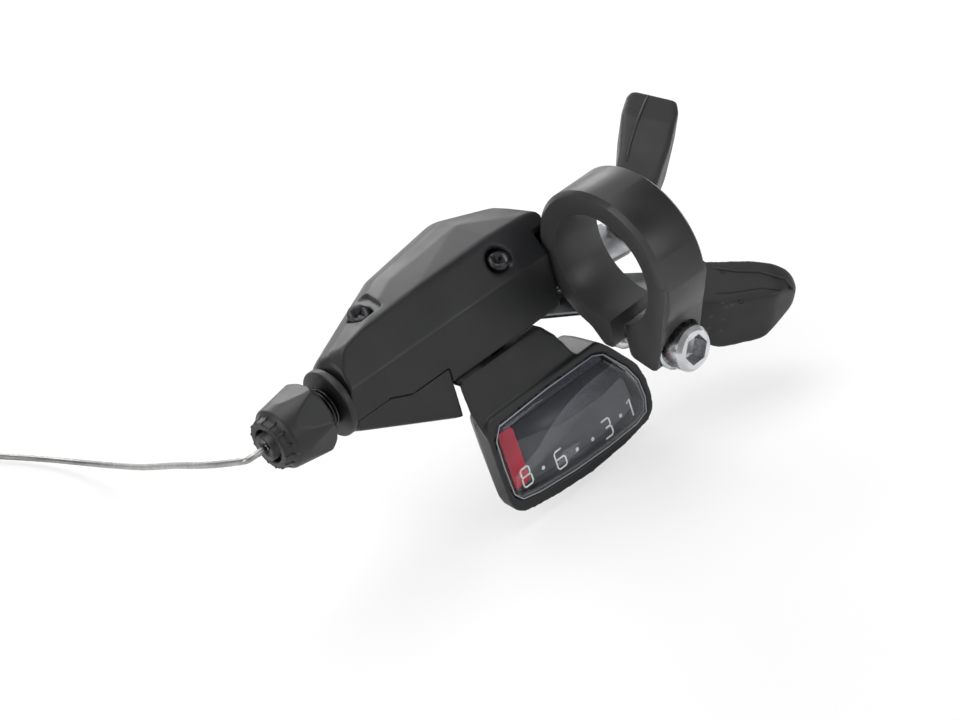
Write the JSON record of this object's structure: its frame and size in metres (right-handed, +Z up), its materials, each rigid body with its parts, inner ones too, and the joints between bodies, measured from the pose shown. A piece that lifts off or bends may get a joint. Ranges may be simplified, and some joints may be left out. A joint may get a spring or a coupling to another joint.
{
  "type": "bicycle shifter",
  "caption": "Right-hand trigger shifter for a bicycle: bar clamp, indexed cable reel, thumb and release levers, barrel adjuster and gear window.",
  "frame": {"origin": "centre of the handlebar clamp's bore, midway along it", "axes": "+X along the handlebar towards its end, +Y away from the rider, +Z up; the clamp's ears point down"},
  "size_m": [0.1479, 0.1805, 0.0585],
  "materials": {
    "black_alloy": "satin",
    "zinc_steel": "zinc plated",
    "dark_steel": "plain",
    "spring_steel": "bright wire",
    "cover_plastic": "fine matte",
    "lever_plastic": "fine matte",
    "knob_plastic": "moulded",
    "reel_plastic": "moulded",
    "window_plastic": "clear",
    "dial_plastic": "printed",
    "needle_red": "gloss",
    "cable_steel": "stranded wire"
  },
  "bodies": {
    "body": {"clamp_band": "black_alloy", "clamp_bolt": "zinc_steel", "clamp_washer": "zinc_steel", "clamp_nut": "zinc_steel", "clamp_screw": "dark_steel", "base_plate": "dark_steel", "top_plate": "dark_steel", "plate_pillar": "dark_steel", "main_axle": "zinc_steel", "axle_washer": "zinc_steel", "axle_nut": "zinc_steel", "reel_spring": "spring_steel", "positioning_pawl_pin": "dark_steel", "positioning_pawl_spring": "spring_steel", "thumb_lever_spring": "spring_steel", "release_lever_spring": "spring_steel", "upper_cover": "cover_plastic", "lower_cover": "cover_plastic", "cover_screws": "dark_steel", "adjuster_insert": "knob_plastic", "adjuster_spring": "spring_steel", "indicator_housing": "cover_plastic", "dial_plate": "dial_plastic", "indicator_lens": "window_plastic", "needle_rail": "zinc_steel", "needle_spring": "spring_steel", "indicator_wire": "spring_steel", "indicator_screw": "dark_steel", "inner_cable": "cable_steel", "cable_coil": "cable_steel"},
    "reel": {"cable_reel": "reel_plastic", "positioning_ratchet": "zinc_steel", "winding_ratchet": "zinc_steel", "cable_head": "cable_steel"},
    "thumb_lever": {"thumb_lever_plate": "dark_steel", "thumb_lever_pad": "lever_plastic", "winding_pawl_pin": "dark_steel", "winding_pawl_spring": "spring_steel"},
    "release_lever": {"release_lever_plate": "dark_steel", "release_lever_pad": "lever_plastic"},
    "positioning_pawl": {"positioning_pawl": "zinc_steel"},
    "winding_pawl": {"winding_pawl": "zinc_steel"},
    "adjuster": {"adjuster_knob": "knob_plastic", "adjuster_stem": "dark_steel"},
    "needle": {"needle": "needle_red"}
  },
  "joints": [
    {"name": "reel_turn", "type": "hinge", "parent": "body", "child": "reel", "pos_m": [-0.017, 0.02083, 0.00927], "axis": [0, -0.4067, 0.9135], "range_deg": [0, 168], "deforming": ["reel_spring"]},
    {"name": "thumb_push", "type": "hinge", "parent": "body", "child": "thumb_lever", "pos_m": [-0.017, 0.02083, 0.00927], "axis": [0, -0.4067, 0.9135], "range_deg": [0, 30], "stiffness_Nm_per_rad": 0.2, "deforming": ["thumb_lever_spring"]},
    {"name": "release_pull", "type": "hinge", "parent": "body", "child": "release_lever", "pos_m": [-0.017, 0.02083, 0.00927], "axis": [0, -0.4067, 0.9135], "range_deg": [-10, 0], "stiffness_Nm_per_rad": 0.2, "deforming": ["release_lever_spring"]},
    {"name": "positioning_lift", "type": "hinge", "parent": "body", "child": "positioning_pawl", "pos_m": [-0.033, 0.01864, 0.0083], "axis": [0, -0.4067, 0.9135], "range_deg": [0, 6], "stiffness_Nm_per_rad": 0.005, "deforming": ["positioning_pawl_spring"]},
    {"name": "winding_lift", "type": "hinge", "parent": "thumb_lever", "child": "winding_pawl", "pos_m": [-0.022, 0.02878, 0.01281], "axis": [0, 0.4067, -0.9135], "range_deg": [0, 6], "stiffness_Nm_per_rad": 0.005, "deforming": ["winding_pawl_spring"]},
    {"name": "adjuster_turn", "type": "hinge", "parent": "body", "child": "adjuster", "pos_m": [-0.06, 0.01763, -0.00222], "axis": [1, 0, 0], "continuous": true},
    {"name": "needle_slide", "type": "slide", "parent": "body", "child": "needle", "axis": [1, 0, 0], "range_m": [0, 0.02552], "deforming": ["needle_spring"]}
  ],
  "couplings": [
    {"joint": "needle_slide", "follows": "reel_turn", "m_per_rad": 0.0087}
  ]
}
